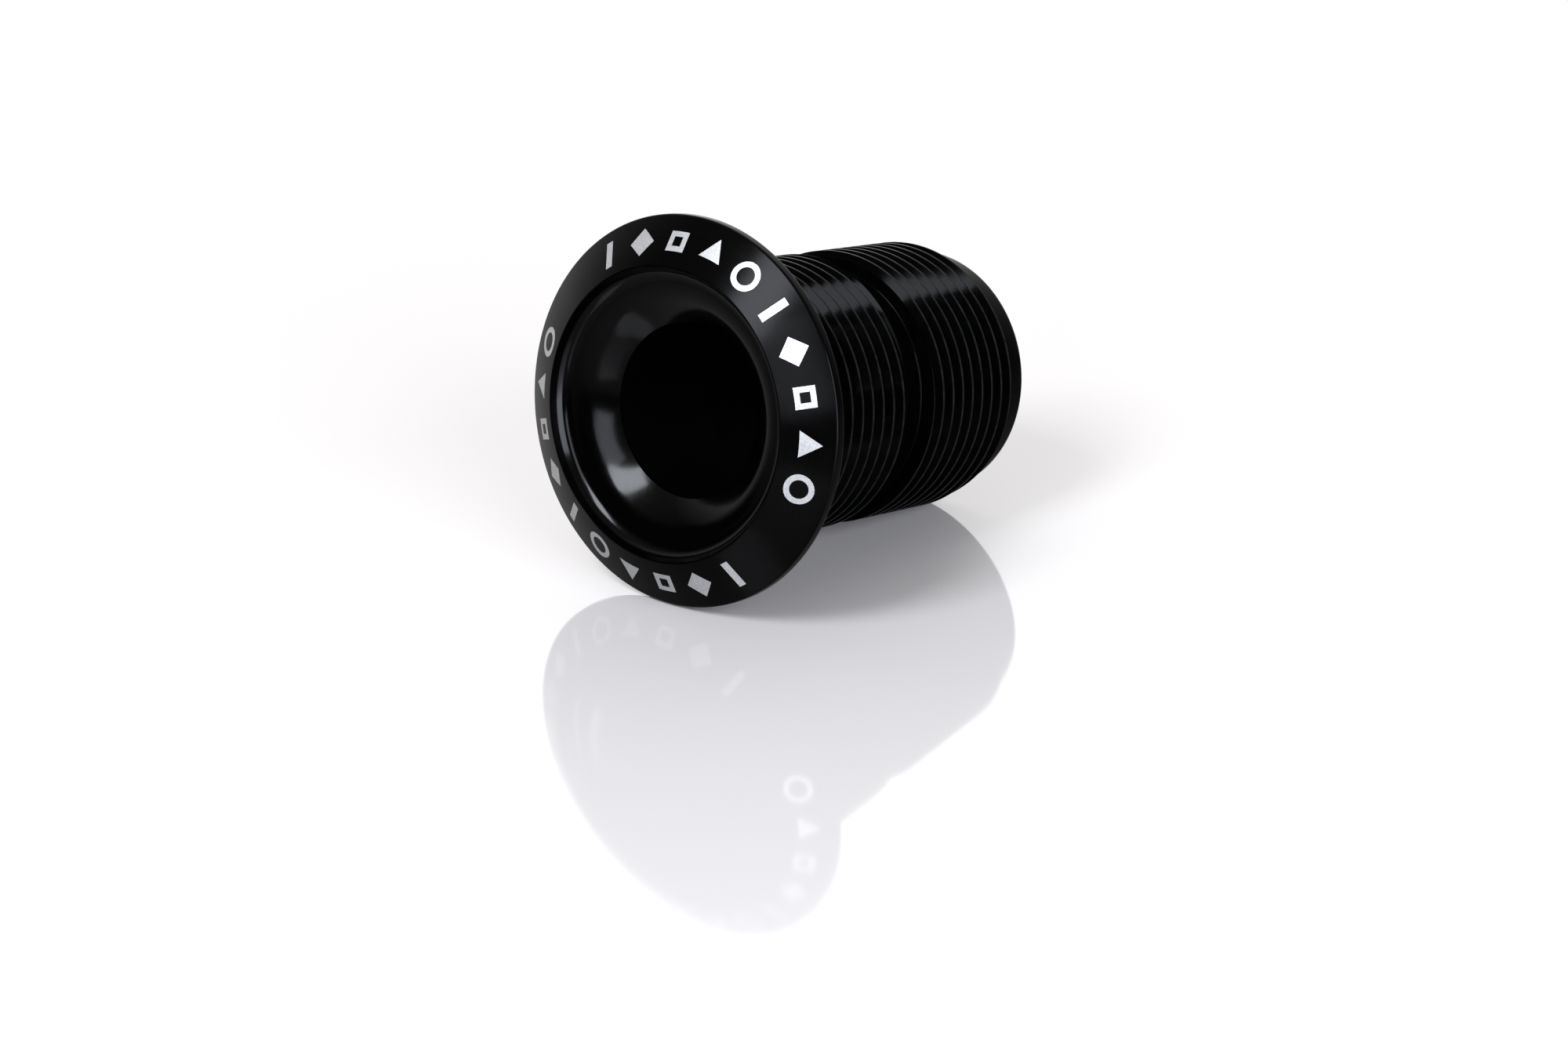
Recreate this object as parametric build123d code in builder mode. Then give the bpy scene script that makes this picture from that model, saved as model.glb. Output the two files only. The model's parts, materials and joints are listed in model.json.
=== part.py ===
"""Hollow threaded cap bolt with a conical flange and a bell-mouthed bore.

The axis of the part is Y. The flange's seat plane is Y = 0, the flange and the bell mouth face -Y,
and the threaded barrel runs to +Y. Profiles are drawn in the XY plane, as points of radius and
station along Y, and turned about the Y axis. All sizes are millimetres.
"""
from build123d import *
import math
import os

os.makedirs("parts", exist_ok=True)

# Thread: metric M25 x 1.5, right-handed, with its crests a little under the nominal radius
pitch = 1.5
crest_r = 12.48
root_r = 11.58
crest_flat = pitch / 8
thread_start_angle = 180
flank_angle = 30
thread_end_y = 31.5

# Flange
flange_r = 17.25
rim_width = 0.9
rim_round = 0.3
seat_edge_bevel = 0.15
face_edge_r = 13.0
face_edge_y = -3.52

# Barrel
collar_r = 12.5
collar_length = 1.1
groove_y = 16.05
groove_width = 3.45
groove_floor_r = 11.0
groove_fillet = 0.3
pilot_r = 11.4
barrel_end_y = 35.05
pilot_bevel = 0.5
bore_r = 7.75

# Bell-mouth liner: a lip, a steep wall, a hollow arc, two arcs that steepen to the bore, and a tube
liner_lip_y = -3.4
liner_lip_r = 12.9
wall_foot_r = 12.75
wall_foot_y = -3.0
dish_outer_r = 11.5
dish_outer_y = -2.05
dish_middle_r = 9.8
dish_middle_y = -1.51
throat_y = -0.05
liner_tube_r = 8.65
liner_end_y = 12.0
pocket_corners = [(face_edge_r, -1.5), (10.6, -0.75), (9.3, 0.6), (liner_tube_r, 1.6)]

# Hex drive sleeve, against a shoulder near the rear of the bore
hex_across_flats = 12.0
sleeve_r = 9.0
sleeve_length = 12.0
sleeve_recess = 1.0
sleeve_end_y = barrel_end_y - sleeve_recess
sleeve_start_y = sleeve_end_y - sleeve_length
lead_in = 0.5


def ridge_half_width(radius):
    """Half the axial width of the thread's ridge at a radius."""
    return crest_flat / 2 + (crest_r - radius) * math.tan(math.radians(flank_angle))


# One turn of the thread's ridge. Its foot is sunk below the root so that it joins the core cleanly.
foot_r = root_r - 0.2
ridge_start_y = 0.375
turn_path = Helix(
    pitch=pitch,
    height=pitch,
    radius=root_r,
    center=(0, ridge_start_y, 0),
    direction=(0, 1, 0),
)
turn_start = turn_path @ 0
outward = (turn_start - Vector(0, ridge_start_y, 0)).normalized()
with BuildPart() as ridge_turn:
    with BuildSketch(Plane(origin=turn_start, x_dir=outward, z_dir=outward.cross(Vector(0, 1, 0)))):
        with BuildLine():
            Polyline(
                (foot_r - root_r, -ridge_half_width(foot_r)),
                (crest_r - root_r, -crest_flat / 2),
                (crest_r - root_r, crest_flat / 2),
                (foot_r - root_r, ridge_half_width(foot_r)),
                close=True,
            )
        make_face()
    sweep(path=turn_path, is_frenet=True)


# The body: cone, rim, collar, threaded barrel, groove and pilot, turned from one bar
with BuildPart() as cap_body:
    with BuildSketch(Plane.XY):
        with BuildLine():
            Polyline(
                (face_edge_r, face_edge_y),
                (flange_r, -rim_width),
                (flange_r, -seat_edge_bevel),
                (flange_r - seat_edge_bevel, 0),
                (collar_r, 0),
                (collar_r, collar_length),
                (root_r, collar_length),
                (root_r, barrel_end_y),
                (sleeve_r, barrel_end_y),
                (sleeve_r, sleeve_start_y),
                (bore_r, sleeve_start_y),
                (bore_r, liner_end_y),
                (liner_tube_r, liner_end_y),
                *reversed(pocket_corners),
                close=True,
            )
        make_face()
    revolve(axis=Axis.Y)
    rim_edges = cap_body.edges().filter_by(GeomType.CIRCLE).filter_by(lambda edge: edge.radius > flange_r - 0.01)
    fillet(rim_edges.sort_by(Axis.Y)[0], radius=rim_round)

    turn_count = math.ceil((thread_end_y - ridge_start_y) / pitch) + 1
    for turn in range(turn_count):
        with Locations(Location((0, turn * pitch, 0), (0, thread_start_angle, 0))):
            add(ridge_turn.part)

    # The groove through the middle of the thread
    with BuildSketch(Plane.XY) as groove_section:
        with BuildLine():
            Polyline(
                (groove_floor_r, groove_y),
                (crest_r + 1, groove_y),
                (crest_r + 1, groove_y + groove_width),
                (groove_floor_r, groove_y + groove_width),
                close=True,
            )
        make_face()
        fillet(groove_section.vertices().group_by(Axis.X)[0], radius=groove_fillet)
    revolve(axis=Axis.Y, mode=Mode.SUBTRACT)

    # The plain pilot behind the thread, with a bevelled end
    with BuildSketch(Plane.XY):
        with BuildLine():
            Polyline(
                (pilot_r, thread_end_y),
                (crest_r + 1, thread_end_y),
                (crest_r + 1, barrel_end_y + 2 * pitch),
                (pilot_r - pilot_bevel, barrel_end_y + 2 * pitch),
                (pilot_r - pilot_bevel, barrel_end_y),
                (pilot_r, barrel_end_y - pilot_bevel),
                close=True,
            )
        make_face()
    revolve(axis=Axis.Y, mode=Mode.SUBTRACT)

cap_body.part.label = "cap_body"
export_step(cap_body.part, "parts/cap_body.step")


# The glossy liner that guides the cable into the bore
with BuildPart() as bell_mouth_liner:
    with BuildSketch(Plane.XY):
        with BuildLine():
            wall = Line((liner_lip_r, liner_lip_y), (wall_foot_r, wall_foot_y))
            hollow = TangentArc(wall @ 1, (dish_outer_r, dish_outer_y), tangent=wall % 1)
            shallow = TangentArc(hollow @ 1, (dish_middle_r, dish_middle_y), tangent=hollow % 1)
            steep = TangentArc(shallow @ 1, (bore_r, throat_y), tangent=shallow % 1)
            Polyline(
                steep @ 1,
                (bore_r, liner_end_y),
                (liner_tube_r, liner_end_y),
                *reversed(pocket_corners),
                (face_edge_r, liner_lip_y),
                wall @ 0,
            )
        make_face()
    revolve(axis=Axis.Y)
bell_mouth_liner.part.label = "bell_mouth_liner"
export_step(bell_mouth_liner.part, "parts/bell_mouth_liner.step")


# The steel sleeve whose hexagon turns the bolt, reached through the mouth
with BuildPart() as hex_drive_sleeve:
    with BuildSketch(Plane.XZ.offset(-sleeve_start_y)):
        Circle(sleeve_r)
        RegularPolygon(hex_across_flats / 2, side_count=6, major_radius=False, mode=Mode.SUBTRACT)
    extrude(amount=-sleeve_length)
    hex_corner_r = hex_across_flats / 2 / math.cos(math.radians(30))
    with BuildSketch(Plane.XY):
        with BuildLine():
            Polyline(
                (0, sleeve_start_y),
                (hex_corner_r, sleeve_start_y),
                (hex_corner_r - 2 * lead_in, sleeve_start_y + lead_in),
                (0, sleeve_start_y + lead_in),
                close=True,
            )
        make_face()
    revolve(axis=Axis.Y, mode=Mode.SUBTRACT)
    outer_edges = hex_drive_sleeve.edges().filter_by(GeomType.CIRCLE)
    chamfer(outer_edges.filter_by(lambda edge: edge.radius > sleeve_r - 0.01).sort_by(Axis.Y)[-1], length=lead_in)
hex_drive_sleeve.part.label = "hex_drive_sleeve"
export_step(hex_drive_sleeve.part, "parts/hex_drive_sleeve.step")
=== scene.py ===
"""Hollow threaded cap bolt, lying on its flange and thread on a pale floor.

The bolt's axis is the frame's Y axis, with the flange facing -Y. Turned shapes are drawn in
millimetres, as points of radius and station along Y. Angles round the axis start at +X and grow
towards -Z, which is the way in which the right-hand thread advances along +Y.
"""
import json
import math

import bmesh
import bpy
import numpy as np
from mathutils import Matrix, Vector


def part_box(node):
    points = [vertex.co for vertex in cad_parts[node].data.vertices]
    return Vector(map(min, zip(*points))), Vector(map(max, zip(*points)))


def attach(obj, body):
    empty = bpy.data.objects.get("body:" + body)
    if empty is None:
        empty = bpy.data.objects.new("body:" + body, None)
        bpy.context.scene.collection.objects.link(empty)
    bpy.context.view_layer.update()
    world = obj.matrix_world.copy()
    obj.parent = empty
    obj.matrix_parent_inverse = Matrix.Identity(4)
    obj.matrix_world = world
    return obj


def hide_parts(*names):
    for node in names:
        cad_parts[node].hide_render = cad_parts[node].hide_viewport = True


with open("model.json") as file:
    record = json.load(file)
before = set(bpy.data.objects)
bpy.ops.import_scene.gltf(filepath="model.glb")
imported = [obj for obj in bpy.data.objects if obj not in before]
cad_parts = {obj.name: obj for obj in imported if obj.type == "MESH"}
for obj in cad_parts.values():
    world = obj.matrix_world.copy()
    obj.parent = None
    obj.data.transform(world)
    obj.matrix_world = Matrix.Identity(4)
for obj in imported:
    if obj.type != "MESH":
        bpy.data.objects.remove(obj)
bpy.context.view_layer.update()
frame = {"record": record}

MM = 0.001
BODY = "root"

# Sizes read from the frame, in millimetres
body_low, body_high = [[value / MM for value in corner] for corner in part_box("cap_body")]
liner_low, liner_high = [[value / MM for value in corner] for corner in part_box("bell_mouth_liner")]
sleeve_low, sleeve_high = [[value / MM for value in corner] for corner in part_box("hex_drive_sleeve")]
mounts = {mount["name"]: mount for mount in frame["record"]["mounts"]}
FLANGE_R = body_high[0]
FRONT_Y = body_low[1]
REAR_Y = body_high[1]
MOUTH_R = liner_high[0]
LINER_FRONT_Y = liner_low[1]
LINER_END_Y = liner_high[1]
SLEEVE_R = sleeve_high[0]
SLEEVE_START_Y = sleeve_low[1]
SLEEVE_END_Y = sleeve_high[1]
BORE_R = mounts["through_bore"]["dims"]["r_mm"]
PILOT_R = mounts["pilot"]["dims"]["r_mm"]

# Thread, groove, flange, liner and sleeve details, in millimetres
PITCH = 1.5
CREST_R = 12.48
ROOT_R = 11.58
CREST_HALF_FLAT = PITCH / 16
CREST_ROUND = 0.05
ROOT_ROUND = 0.05
FLANK_ANGLE = math.radians(30)
COLLAR_R = 12.5
THREAD_START_Y = 1.1
THREAD_END_Y = 31.5
GROOVE_START_Y = 16.05
GROOVE_END_Y = 19.5
GROOVE_FLOOR_R = 11.0
RIM_WIDTH = 0.9
LINER_TUBE_R = 8.65
POCKET = [(MOUTH_R, -1.5), (10.6, -0.75), (9.3, 0.6), (LINER_TUBE_R, 1.6)]
LINER_WALL_TOP = (12.9, LINER_FRONT_Y)
LINER_WALL_FOOT = (12.75, -3.0)
DISH_OUTER = (11.5, -2.05)
DISH_MIDDLE = (9.8, -1.51)
THROAT = (BORE_R, -0.05)
HEX_ACROSS_FLATS = 12.0
HEX_LEAD_IN = 0.4
SLEEVE_FACE_WIDTH = 1.4

# How finely the meshes are divided
COLUMNS = 288
FEW_COLUMNS = 96
ARC_STEPS = 24
SHARP_ANGLE = math.radians(32)
MERGE_DISTANCE = 2e-7  # metres


# ---------------------------------------------------------------- outlines

def rounded(corners, steps=5):
    """Turns corners of (radius, station, rounding) into points, with a smooth bend at each rounded corner."""
    points = []
    count = len(corners)
    for index, (r, y, rounding) in enumerate(corners):
        here = Vector((r, y))
        before = Vector(corners[index - 1][:2]) - here
        after = Vector(corners[(index + 1) % count][:2]) - here
        if rounding <= 0 or before.length == 0 or after.length == 0:
            points.append((r, y))
            continue
        half_turn = before.angle(after) / 2
        longest_reach = 0.49 * min(before.length, after.length)
        reach = min(rounding / math.tan(half_turn), longest_reach)
        start = here + before.normalized() * reach
        end = here + after.normalized() * reach
        for step in range(steps + 1):
            t = step / steps
            weights = ((1 - t) ** 2, 2 * t * (1 - t), t ** 2)
            bend = weights[0] * start + weights[1] * here + weights[2] * end
            points.append((bend.x, bend.y))
    return points


def tangent_arc(start, end, direction):
    """Points after start on the arc that leaves it in a direction, and the arc's last direction."""
    chord = (end[0] - start[0], end[1] - start[1])
    chord_angle = math.atan2(chord[1], chord[0])
    half_turn = chord_angle - direction
    radius = math.hypot(*chord) / (2 * math.sin(half_turn))
    centre = (start[0] - radius * math.sin(direction), start[1] + radius * math.cos(direction))
    points = []
    for step in range(1, ARC_STEPS + 1):
        angle = direction + 2 * half_turn * step / ARC_STEPS
        points.append((centre[0] + radius * math.sin(angle), centre[1] - radius * math.cos(angle)))
    return points, direction + 2 * half_turn


def thread_profile():
    """One pitch of the thread as phases along the axis and radii, with its crest at phase 0."""
    root_half = CREST_HALF_FLAT + (CREST_R - ROOT_R) * math.tan(FLANK_ANGLE)
    corners = [
        (ROOT_R, -PITCH / 2, 0),
        (ROOT_R, -root_half, ROOT_ROUND),
        (CREST_R, -CREST_HALF_FLAT, CREST_ROUND),
        (CREST_R, CREST_HALF_FLAT, CREST_ROUND),
        (ROOT_R, root_half, ROOT_ROUND),
        (ROOT_R, PITCH / 2, 0),
    ]
    points = rounded(corners, steps=3)
    phases = np.array([y for r, y in points])
    radii = np.array([r for r, y in points])
    return phases, radii


# ---------------------------------------------------------------- turned meshes

def plain_row(r, y):
    """A row of a turned mesh that is a plain circle."""
    return lambda angle: (np.full_like(angle, r), np.full_like(angle, y))


def plain_rows(points, material):
    """Plain rows through points of radius and station, paired with a material index."""
    return [(plain_row(r, y), material) for r, y in points]


def thread_rows(start_y, end_y, material):
    """Rows that follow the thread's helix between two planes, where its ridge is cut off."""
    phases, radii = thread_profile()

    def row(station):
        def points(angle):
            advance = PITCH * angle / (2 * math.pi)
            y = np.clip(station + advance, start_y, end_y)
            phase = (y - advance + PITCH / 2) % PITCH - PITCH / 2
            return np.interp(phase, phases, radii), y
        return points

    first_turn = math.floor(start_y / PITCH) - 1
    last_turn = math.ceil(end_y / PITCH) + 1
    stations = [turn * PITCH + phase for turn in range(first_turn, last_turn) for phase in phases[:-1]]
    return [(row(station), material) for station in stations]


def turned_piece(name, rows, columns, materials):
    """A mesh turned about Y from a closed outline of (row, material index) pairs, merged where rows meet."""
    angle = np.linspace(0, 2 * math.pi, columns + 1)
    grid = []
    for row, _ in rows:
        r, y = row(angle)
        grid.append(np.stack([r * np.cos(angle), y, -r * np.sin(angle)], axis=1) * MM)
    vertices = np.concatenate(grid)
    across = columns + 1
    faces = []
    slots = []
    for index, (_, material_index) in enumerate(rows):
        here = index * across
        there = ((index + 1) % len(rows)) * across
        for column in range(columns):
            faces.append((here + column, here + column + 1, there + column + 1, there + column))
            slots.append(material_index)
    mesh = bpy.data.meshes.new(name)
    mesh.from_pydata(vertices.tolist(), [], faces)
    mesh.polygons.foreach_set("material_index", slots)
    work = bmesh.new()
    work.from_mesh(mesh)
    bmesh.ops.remove_doubles(work, verts=work.verts, dist=MERGE_DISTANCE)
    bmesh.ops.dissolve_degenerate(work, edges=work.edges, dist=MERGE_DISTANCE / 2)
    bmesh.ops.recalc_face_normals(work, faces=work.faces)
    work.to_mesh(mesh)
    work.free()
    finish_mesh(mesh)
    return add_piece(name, mesh, materials)


def finish_mesh(mesh):
    """Smooth shading, with edges sharper than a set angle left sharp."""
    mesh.polygons.foreach_set("use_smooth", [True] * len(mesh.polygons))
    mesh.set_sharp_from_angle(angle=SHARP_ANGLE)
    mesh.update()


def add_piece(name, mesh, materials):
    """Links a mesh to the scene with its materials and makes it ride on the bolt."""
    piece = bpy.data.objects.new(name, mesh)
    bpy.context.scene.collection.objects.link(piece)
    for material in materials:
        mesh.materials.append(material)
    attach(piece, BODY)
    return piece


# ---------------------------------------------------------------- materials

NOISE_MIDDLE = (0.3, 0.7)


def grey(value):
    """A neutral colour."""
    return (value, value, value)


class Nodes:
    """A material and short ways to add to its node tree."""

    def __init__(self, name):
        self.material = bpy.data.materials.new(name)
        self.material.use_nodes = True
        self.tree = self.material.node_tree
        self.shader = self.tree.nodes["Principled BSDF"]

    def add(self, kind, **settings):
        """A new node with some of its settings."""
        node = self.tree.nodes.new(kind)
        for key, value in settings.items():
            setattr(node, key, value)
        return node

    def link(self, output, target):
        """Connects a node's output to an input."""
        self.tree.links.new(output, target)

    def put(self, value, target):
        """Feeds an input from a plain number or from another node's output."""
        if isinstance(value, (int, float)):
            target.default_value = value
        else:
            self.link(value, target)

    def maths(self, operation, first, second=0.0, clamp=False):
        """The result of a sum on outputs or plain numbers."""
        node = self.add("ShaderNodeMath", operation=operation, use_clamp=clamp)
        self.put(first, node.inputs[0])
        self.put(second, node.inputs[1])
        return node.outputs[0]

    def place(self):
        """The point in the frame, in metres, whole and as its x, y and z."""
        point = self.add("ShaderNodeTexCoord").outputs["Object"]
        split = self.add("ShaderNodeSeparateXYZ")
        self.link(point, split.inputs[0])
        return point, split.outputs

    def radius(self):
        """Distance from the bolt's axis, in millimetres."""
        _, (x, _, z) = self.place()
        squares = self.maths("ADD", self.maths("MULTIPLY", x, x), self.maths("MULTIPLY", z, z))
        return self.maths("MULTIPLY", self.maths("SQRT", squares), 1 / MM)

    def noise(self, scale, detail=3.0):
        """Solid noise, with its scale in features per millimetre."""
        point, _ = self.place()
        node = self.add("ShaderNodeTexNoise")
        self.link(point, node.inputs["Vector"])
        node.inputs["Scale"].default_value = scale / MM
        node.inputs["Detail"].default_value = detail
        node.inputs["Roughness"].default_value = 0.55
        return node.outputs["Fac"]

    def rings(self, per_mm, wobble=0.0):
        """Noise that changes with the distance from the axis alone: turning marks."""
        distance = self.radius()
        if wobble:
            distance = self.maths("ADD", distance, self.maths("MULTIPLY", self.noise(0.12, 1.0), wobble))
        node = self.add("ShaderNodeTexNoise", noise_dimensions="1D")
        self.link(self.maths("MULTIPLY", distance, per_mm), node.inputs["W"])
        node.inputs["Scale"].default_value = 1.0
        node.inputs["Detail"].default_value = 2.0
        return node.outputs["Fac"]

    def shades(self, value, low, high):
        """Maps a noise's middle range to the colours between two."""
        node = self.add("ShaderNodeValToRGB")
        self.link(value, node.inputs["Fac"])
        stops = zip(node.color_ramp.elements, NOISE_MIDDLE, (low, high))
        for element, position, colour in stops:
            element.position = position
            element.color = (*colour, 1)
        return node.outputs["Color"]

    def spread(self, value, low, high):
        """Maps a noise's middle range to a range of numbers."""
        node = self.add("ShaderNodeMapRange")
        self.link(value, node.inputs["Value"])
        node.inputs["From Min"].default_value = NOISE_MIDDLE[0]
        node.inputs["From Max"].default_value = NOISE_MIDDLE[1]
        node.inputs["To Min"].default_value = low
        node.inputs["To Max"].default_value = high
        return node.outputs["Result"]

    def mix(self, share, output, colour):
        """Mixes another node's colour with a plain one."""
        node = self.add("ShaderNodeMix", data_type="RGBA")
        self.link(share, node.inputs["Factor"])
        self.link(output, node.inputs["A"])
        node.inputs["B"].default_value = (*colour, 1)
        return node.outputs["Result"]

    def bump(self, height, depth_mm):
        """Gives the surface a relief of a depth in millimetres."""
        node = self.add("ShaderNodeBump")
        node.inputs["Distance"].default_value = depth_mm * MM
        self.link(height, node.inputs["Height"])
        self.link(node.outputs["Normal"], self.shader.inputs["Normal"])


def anodised_cone():
    """Satin black anodising over turning marks, which stretch a highlight across the rings."""
    n = Nodes("anodised_cone")
    n.link(n.shades(n.rings(9.0, 0.05), grey(0.0002), grey(0.0005)), n.shader.inputs["Base Color"])
    n.link(n.spread(n.noise(0.7), 0.16, 0.2), n.shader.inputs["Roughness"])
    n.shader.inputs["IOR"].default_value = 1.09
    n.bump(n.rings(14.0, 0.02), 0.001)
    return n.material


def anodised_barrel():
    """Black anodising on the thread, a little rubbed along the thread's crests."""
    n = Nodes("anodised_barrel")
    rub_start_r = CREST_R - 0.06
    rub_depth = 0.05
    crest = n.maths("MULTIPLY", n.maths("SUBTRACT", n.radius(), rub_start_r), 1 / rub_depth, clamp=True)
    rubbed = n.maths("MULTIPLY", crest, n.spread(n.noise(1.4), 0.25, 0.8))
    dark = n.shades(n.noise(0.9), grey(0.0001), grey(0.0003))
    n.link(n.mix(rubbed, dark, grey(0.006)), n.shader.inputs["Base Color"])
    n.link(n.spread(n.noise(2.2), 0.08, 0.13), n.shader.inputs["Roughness"])
    n.shader.inputs["IOR"].default_value = 1.06
    return n.material


def gloss_liner():
    """Polished black, with faint rings and slightly uneven gloss."""
    n = Nodes("gloss_liner")
    n.link(n.shades(n.noise(0.5), grey(0.0001), grey(0.0002)), n.shader.inputs["Base Color"])
    n.link(n.spread(n.noise(1.5), 0.12, 0.16), n.shader.inputs["Roughness"])
    n.shader.inputs["IOR"].default_value = 1.16
    n.bump(n.rings(5.0), 0.0003)
    return n.material


def bore_black():
    """Dull black inside the bore, with faint boring rings along it."""
    n = Nodes("bore_black")
    _, (_, along, _) = n.place()
    rings = n.add("ShaderNodeTexNoise", noise_dimensions="1D")
    n.link(along, rings.inputs["W"])
    rings.inputs["Scale"].default_value = 6 / MM
    n.link(n.shades(rings.outputs["Fac"], grey(0.0001), grey(0.0002)), n.shader.inputs["Base Color"])
    n.link(n.spread(n.noise(1.0), 0.5, 0.6), n.shader.inputs["Roughness"])
    n.shader.inputs["IOR"].default_value = 1.05
    n.bump(rings.outputs["Fac"], 0.003)
    return n.material


def drive_steel():
    """Black-oxide steel, mottled and finely grained."""
    n = Nodes("drive_steel")
    n.link(n.shades(n.noise(1.2), (0.02, 0.02, 0.022), (0.035, 0.035, 0.037)), n.shader.inputs["Base Color"])
    n.shader.inputs["Metallic"].default_value = 0.9
    n.link(n.spread(n.noise(2.5), 0.32, 0.45), n.shader.inputs["Roughness"])
    n.bump(n.noise(5.0, 2.0), 0.004)
    return n.material


def etched_silver():
    """Bare aluminium where the anodising is burnt off: pale, dull and finely grained."""
    n = Nodes("etched_silver")
    n.link(n.shades(n.noise(7.0, 4.0), (0.17, 0.168, 0.166), (0.26, 0.258, 0.256)),
           n.shader.inputs["Base Color"])
    n.shader.inputs["Metallic"].default_value = 0.6
    n.link(n.spread(n.noise(4.0), 0.4, 0.5), n.shader.inputs["Roughness"])
    n.bump(n.noise(12.0, 2.0), 0.004)
    return n.material


def floor_white():
    """A smooth white sheet with a soft mirror under the bolt."""
    n = Nodes("floor_white")
    n.shader.inputs["Base Color"].default_value = (0.25, 0.239, 0.23, 1)
    n.link(n.spread(n.noise(0.05), 0.05, 0.07), n.shader.inputs["Roughness"])
    n.shader.inputs["IOR"].default_value = 1.5
    return n.material


# ---------------------------------------------------------------- pieces

def body_rows():
    """The cap body's closed outline: front cone, rim, seat, thread, groove, pilot and bore."""
    cone, barrel, bore = 0, 1, 2
    front = rounded([
        (*POCKET[0], 0),
        (MOUTH_R, FRONT_Y, 0.06),
        (FLANGE_R, -RIM_WIDTH, 0.3),
        (FLANGE_R, 0, 0.15),
        (COLLAR_R, 0, 0.1),
        (COLLAR_R, THREAD_START_Y, 0),
    ])
    groove = rounded([
        (ROOT_R, GROOVE_START_Y, 0),
        (GROOVE_FLOOR_R, GROOVE_START_Y, 0.3),
        (GROOVE_FLOOR_R, GROOVE_END_Y, 0.3),
        (ROOT_R, GROOVE_END_Y, 0),
    ])
    rear = rounded([(PILOT_R, THREAD_END_Y, 0), (PILOT_R, REAR_Y, 0.5), (SLEEVE_R + 0.3, REAR_Y, 0)])
    inside = rounded([
        (SLEEVE_R, REAR_Y, 0.2),
        (SLEEVE_R, SLEEVE_START_Y, 0),
        (BORE_R, SLEEVE_START_Y, 0.1),
        (BORE_R, LINER_END_Y, 0),
        (LINER_TUBE_R, LINER_END_Y, 0),
    ] + [(*corner, 0) for corner in reversed(POCKET[1:])])
    rows = plain_rows(front, cone)
    rows += thread_rows(THREAD_START_Y, GROOVE_START_Y, barrel)
    rows += plain_rows(groove, barrel)
    rows += thread_rows(GROOVE_END_Y, THREAD_END_Y, barrel)
    rows += plain_rows(rear, barrel)
    rows += plain_rows(inside, bore)
    return rows


def liner_rows():
    """The liner's closed outline: lip, steep wall, hollow arc, the dish's two arcs and the tube."""
    gloss, bore = 0, 1
    direction = math.atan2(LINER_WALL_FOOT[1] - LINER_WALL_TOP[1], LINER_WALL_FOOT[0] - LINER_WALL_TOP[0])
    hollow, direction = tangent_arc(LINER_WALL_FOOT, DISH_OUTER, direction)
    shallow, direction = tangent_arc(DISH_OUTER, DISH_MIDDLE, direction)
    steep, _ = tangent_arc(DISH_MIDDLE, THROAT, direction)
    mouth = [LINER_WALL_TOP, LINER_WALL_FOOT] + hollow + shallow + steep
    tube = rounded([
        (BORE_R, 0.2, 0),
        (BORE_R, LINER_END_Y, 0.15),
        (LINER_TUBE_R, LINER_END_Y, 0.05),
    ] + [(*corner, 0) for corner in reversed(POCKET)] + [(MOUTH_R, LINER_FRONT_Y, 0.03)])
    return plain_rows(mouth, gloss) + plain_rows(tube, bore)


def hexagon_row(y, across_flats):
    """A hexagonal row with its flats facing up and down."""
    def points(angle):
        from_flat = (angle % (math.pi / 3)) - math.pi / 6
        return across_flats / 2 / np.cos(from_flat), np.full_like(angle, y)
    return points


def sleeve_rows():
    """The hex drive sleeve: a bevelled outside and a hexagonal hole with lead-ins."""
    outside = rounded([
        (SLEEVE_R - SLEEVE_FACE_WIDTH, SLEEVE_START_Y, 0.1),
        (SLEEVE_R, SLEEVE_START_Y, 0.1),
        (SLEEVE_R, SLEEVE_END_Y, 0.5),
        (SLEEVE_R - SLEEVE_FACE_WIDTH, SLEEVE_END_Y, 0.1),
    ])
    hexagon = [
        hexagon_row(SLEEVE_END_Y, HEX_ACROSS_FLATS + HEX_LEAD_IN),
        hexagon_row(SLEEVE_END_Y - HEX_LEAD_IN, HEX_ACROSS_FLATS),
        hexagon_row(SLEEVE_START_Y + HEX_LEAD_IN, HEX_ACROSS_FLATS),
        hexagon_row(SLEEVE_START_Y, HEX_ACROSS_FLATS + HEX_LEAD_IN),
    ]
    return plain_rows(outside, 0) + [(row, 0) for row in hexagon]


# The marks: two arcs of ten plain symbols, each made of flat strokes, in millimetres
MARKS_PER_ARC = 10
MARK_SPACING = math.radians(15.3)
ARC_STARTS = (math.radians(55.5), math.radians(235.5))
MARK_CENTRE_R = 15.05
MARK_HEIGHT = 2.7
MARK_STROKE = 0.75
OUTLINE_STROKE = 0.5
MARK_PROUD = 0.012
MARK_SUNK = 0.03
MARK_CUTS = 5
CIRCLE_SIDES = 24


def bar():
    """One straight stroke along the cone."""
    u, v = MARK_STROKE / 2, MARK_HEIGHT / 2
    return [[(-u, -v), (u, -v), (u, v), (-u, v)]]


def outline_symbol(sides, turn=0.0):
    """The outline of a regular polygon, as one flat stroke for each side."""
    outer = MARK_HEIGHT / 2
    inner = outer - OUTLINE_STROKE / math.cos(math.pi / sides)
    strokes = []
    for side in range(sides):
        first = turn + 2 * math.pi * side / sides
        second = turn + 2 * math.pi * (side + 1) / sides
        strokes.append([
            (outer * math.cos(first), outer * math.sin(first)),
            (outer * math.cos(second), outer * math.sin(second)),
            (inner * math.cos(second), inner * math.sin(second)),
            (inner * math.cos(first), inner * math.sin(first)),
        ])
    return strokes


def solid_symbol(sides, turn=0.0):
    """A filled regular polygon."""
    outer = MARK_HEIGHT / 2
    turns = [turn + 2 * math.pi * side / sides for side in range(sides)]
    return [[(outer * math.cos(a), outer * math.sin(a)) for a in turns]]


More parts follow.
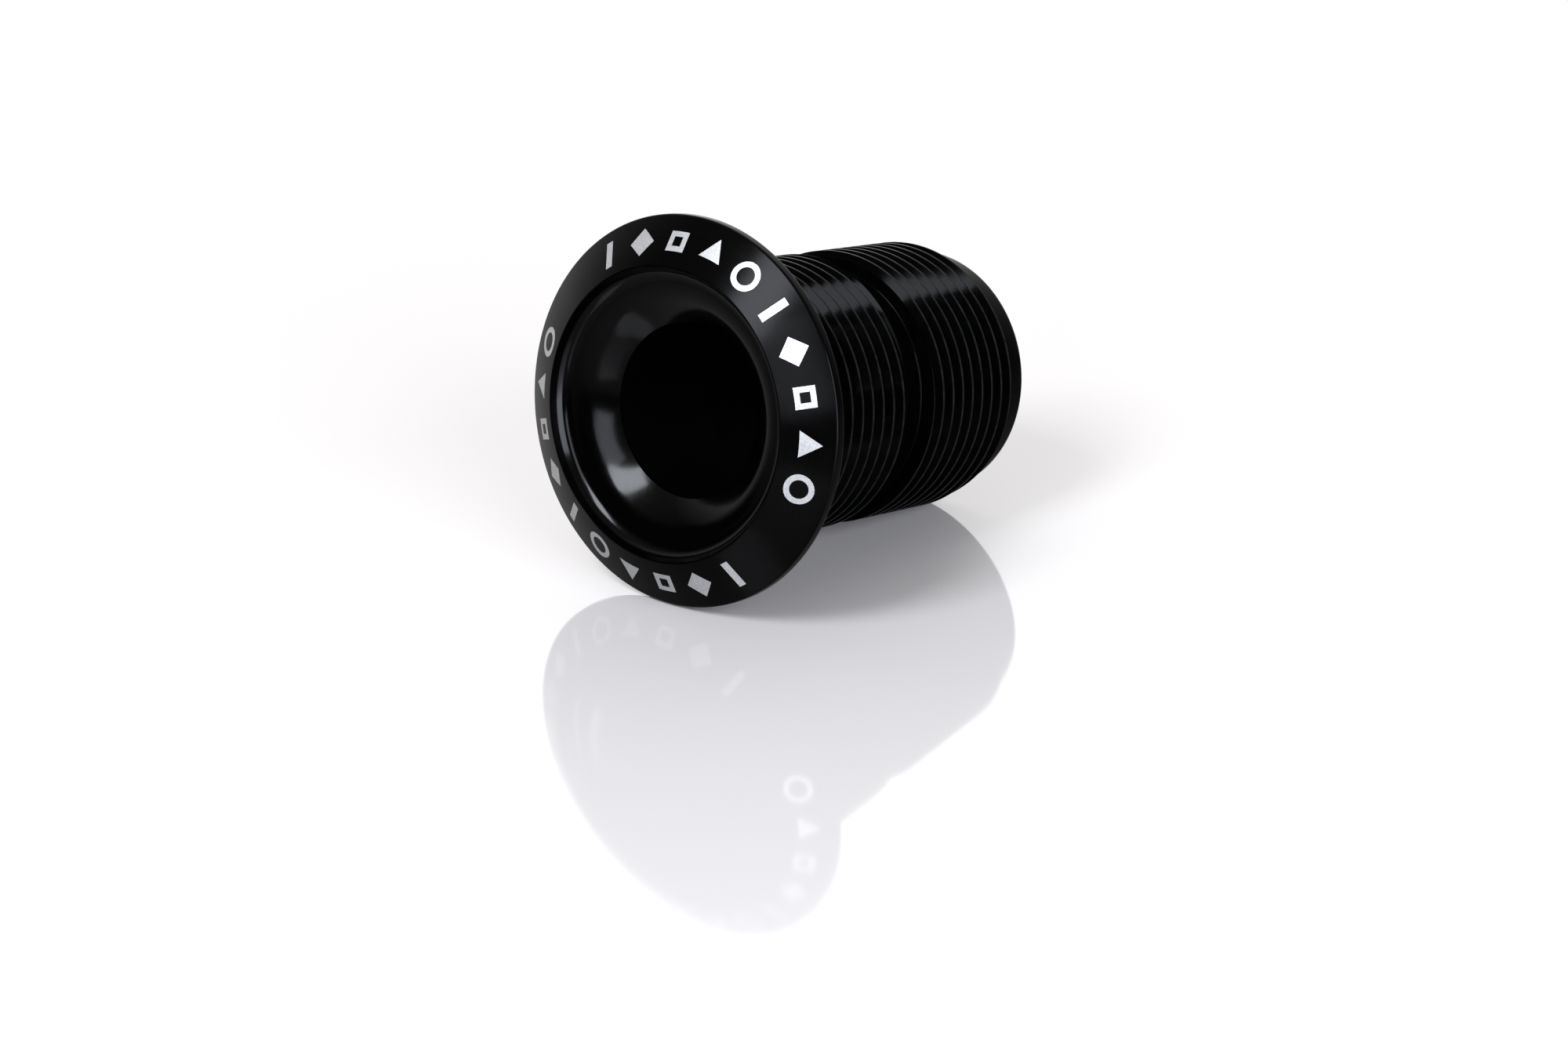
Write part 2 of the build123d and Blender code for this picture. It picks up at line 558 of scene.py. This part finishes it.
def on_cone(angle, across, along, height):
    """A point over the cone, from a mark's centre angle and its place across, along and above the cone."""
    slope = math.atan2(-RIM_WIDTH - FRONT_Y, FLANGE_R - MOUTH_R)
    r = MARK_CENTRE_R + along * math.cos(slope) + height * math.sin(slope)
    y = FRONT_Y + (r - MOUTH_R) * math.tan(slope) - height / math.cos(slope)
    turn = angle + across / r
    return (r * math.cos(turn) * MM, y * MM, -r * math.sin(turn) * MM)


def raised_symbol(strokes):
    """Flat strokes as a thin, finely divided plate that can bend round the cone."""
    plate = bmesh.new()
    for stroke in strokes:
        plate.faces.new([plate.verts.new((u, v, MARK_PROUD)) for u, v in stroke])
    bmesh.ops.remove_doubles(plate, verts=plate.verts, dist=MERGE_DISTANCE / MM)
    bmesh.ops.triangulate(plate, faces=plate.faces)
    bmesh.ops.subdivide_edges(plate, edges=plate.edges, cuts=MARK_CUTS, use_grid_fill=True)
    extruded = bmesh.ops.extrude_face_region(plate, geom=plate.faces[:], use_keep_orig=True)
    for item in extruded["geom"]:
        if isinstance(item, bmesh.types.BMVert):
            item.co.z = -MARK_SUNK
    bmesh.ops.recalc_face_normals(plate, faces=plate.faces)
    plate.verts.index_update()
    return plate


def etched_marks():
    """All the marks as one thin piece that lies on the cone."""
    diamond = solid_symbol(4)
    square = outline_symbol(4, math.pi / 4)
    triangle = solid_symbol(3, math.pi / 2)
    circle = outline_symbol(CIRCLE_SIDES)
    plates = [raised_symbol(strokes) for strokes in (bar(), diamond, square, triangle, circle)]
    vertices = []
    faces = []
    for arc_start in ARC_STARTS:
        for index in range(MARKS_PER_ARC):
            angle = arc_start + index * MARK_SPACING
            plate = plates[index % len(plates)]
            first = len(vertices)
            vertices += [on_cone(angle, *vertex.co) for vertex in plate.verts]
            faces += [[first + vertex.index for vertex in face.verts] for face in plate.faces]
    for plate in plates:
        plate.free()
    mesh = bpy.data.meshes.new("etched_marks")
    mesh.from_pydata(vertices, [], faces)
    finish_mesh(mesh)
    return add_piece("etched_marks", mesh, [etched_silver()])


# ---------------------------------------------------------------- stage, camera and light

# The bolt lies on the rear edge of its rim and on its last full crest. The bolt stays in the frame,
# and the floor, camera and lights are tilted to suit.
REST_CREST_Y = 30.4
REST_TILT = math.atan2(FLANGE_R - CREST_R, REST_CREST_Y)
LYING = Matrix.Rotation(REST_TILT, 3, "X")
FLOOR_UP = LYING @ Vector((0, 0, 1))
FLOOR_GAP = 0.02
FLOOR_REACH = 1500

CAMERA_AZIMUTH = 38.9
CAMERA_ELEVATION = 21.28
CAMERA_DISTANCE = 308.0
CAMERA_TARGET = (8.77, 2.53, -9.08)
FOCAL_LENGTH = 81.0
SENSOR_WIDTH = 36.0

LIGHT_TARGET = (0, 10, 0)
LIGHT_DISTANCE = 450


def lying(x, y, z):
    """A point in millimetres, across, along and above the floor from the frame's origin."""
    return LYING @ Vector((x, y, z)) * MM


def look_at(thing, place, target):
    """Turns a camera or light at a place towards a target, upright over the floor."""
    back = (place - target).normalized()
    across = FLOOR_UP.cross(back).normalized()
    up = back.cross(across)
    turn = Matrix((across, up, back)).transposed().to_4x4()
    thing.matrix_world = Matrix.Translation(place) @ turn


def around(azimuth, elevation, distance, target):
    """A point at a distance in millimetres from a target; azimuth 0 faces the flange and grows to +X."""
    a, e = math.radians(azimuth), math.radians(elevation)
    way = LYING @ Vector((math.sin(a) * math.cos(e), -math.cos(a) * math.cos(e), math.sin(e)))
    return target + way * distance * MM


def make_floor():
    """A flat sheet just under the rim's lowest point."""
    height = -FLANGE_R * math.cos(REST_TILT) - FLOOR_GAP
    signs = ((-1, -1), (1, -1), (1, 1), (-1, 1))
    corners = [lying(x * FLOOR_REACH, y * FLOOR_REACH, height) for x, y in signs]
    mesh = bpy.data.meshes.new("floor")
    mesh.from_pydata(corners, [], [(0, 1, 2, 3)])
    floor = bpy.data.objects.new("floor", mesh)
    mesh.materials.append(floor_white())
    bpy.context.scene.collection.objects.link(floor)


def make_camera():
    """The camera, to the right of the flange and above it."""
    data = bpy.data.cameras.new("camera")
    data.lens = FOCAL_LENGTH
    data.sensor_width = SENSOR_WIDTH
    data.clip_start = 0.01
    camera = bpy.data.objects.new("camera", data)
    bpy.context.scene.collection.objects.link(camera)
    bpy.context.scene.camera = camera
    target = lying(*CAMERA_TARGET)
    look_at(camera, around(CAMERA_AZIMUTH, CAMERA_ELEVATION, CAMERA_DISTANCE, target), target)


def soft_light(name, azimuth, elevation, width, height, power, colour, roll=0):
    """A soft box that faces the bolt: angles in degrees, size in millimetres and power in watts."""
    data = bpy.data.lights.new(name, "AREA")
    data.shape = "RECTANGLE"
    data.size = width * MM
    data.size_y = height * MM
    data.energy = power
    data.color = colour
    light = bpy.data.objects.new(name, data)
    bpy.context.scene.collection.objects.link(light)
    target = lying(*LIGHT_TARGET)
    look_at(light, around(azimuth, elevation, LIGHT_DISTANCE, target), target)
    light.matrix_world = light.matrix_world @ Matrix.Rotation(math.radians(roll), 4, "Z")


def glow(tree, direction, starts, full, low, high):
    """Sky light about a direction, which rises from low to high as the cosine goes from starts to full."""
    place = tree.nodes.new("ShaderNodeTexCoord")
    facing = tree.nodes.new("ShaderNodeVectorMath")
    facing.operation = "DOT_PRODUCT"
    facing.inputs[1].default_value = direction
    tree.links.new(place.outputs["Generated"], facing.inputs[0])
    rise = tree.nodes.new("ShaderNodeMapRange")
    tree.links.new(facing.outputs["Value"], rise.inputs["Value"])
    rise.inputs["From Min"].default_value = starts
    rise.inputs["From Max"].default_value = full
    rise.inputs["To Min"].default_value = low
    rise.inputs["To Max"].default_value = high
    return rise.outputs["Result"]


def make_world():
    """A pale backdrop behind the bolt, as seen from the camera's side, and a faint ceiling."""
    world = bpy.data.worlds.new("studio")
    world.use_nodes = True
    tree = world.node_tree
    away = around(CAMERA_AZIMUTH + 180, 10, 1 / MM, Vector((0, 0, 0)))
    total = tree.nodes.new("ShaderNodeMath")
    tree.links.new(glow(tree, away, 0.25, 0.85, 0.02, 2.4), total.inputs[0])
    tree.links.new(glow(tree, FLOOR_UP, 0.45, 0.85, 0, 0.7), total.inputs[1])
    background = tree.nodes["Background"]
    background.inputs["Color"].default_value = (1.0, 0.99, 0.98, 1)
    tree.links.new(total.outputs["Value"], background.inputs["Strength"])
    bpy.context.scene.world = world


def make_lights():
    """A large box on the right, a narrow leaning strip in front, and a box above the front."""
    soft_light("key_right", azimuth=72, elevation=15, width=360, height=330, power=8.5,
               colour=(0.84, 0.89, 1.0))
    soft_light("front_strip", azimuth=20, elevation=24, width=110, height=270, power=1.1,
               colour=(0.88, 0.91, 1.0), roll=25)
    soft_light("front_top", azimuth=-2, elevation=45, width=130, height=200, power=4.4,
               colour=(0.88, 0.92, 1.0))


# ---------------------------------------------------------------- the scene

bpy.context.scene.view_settings.view_transform = "Standard"
make_camera()
make_floor()
make_world()
make_lights()

bore = bore_black()
body = turned_piece("cap_body_turned", body_rows(), COLUMNS, [anodised_cone(), anodised_barrel(), bore])
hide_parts("cap_body")

liner = turned_piece("bell_mouth_liner_polished", liner_rows(), COLUMNS, [gloss_liner(), bore])
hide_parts("bell_mouth_liner")

sleeve = turned_piece("hex_drive_sleeve_broached", sleeve_rows(), FEW_COLUMNS, [drive_steel()])
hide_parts("hex_drive_sleeve")

marks = etched_marks()
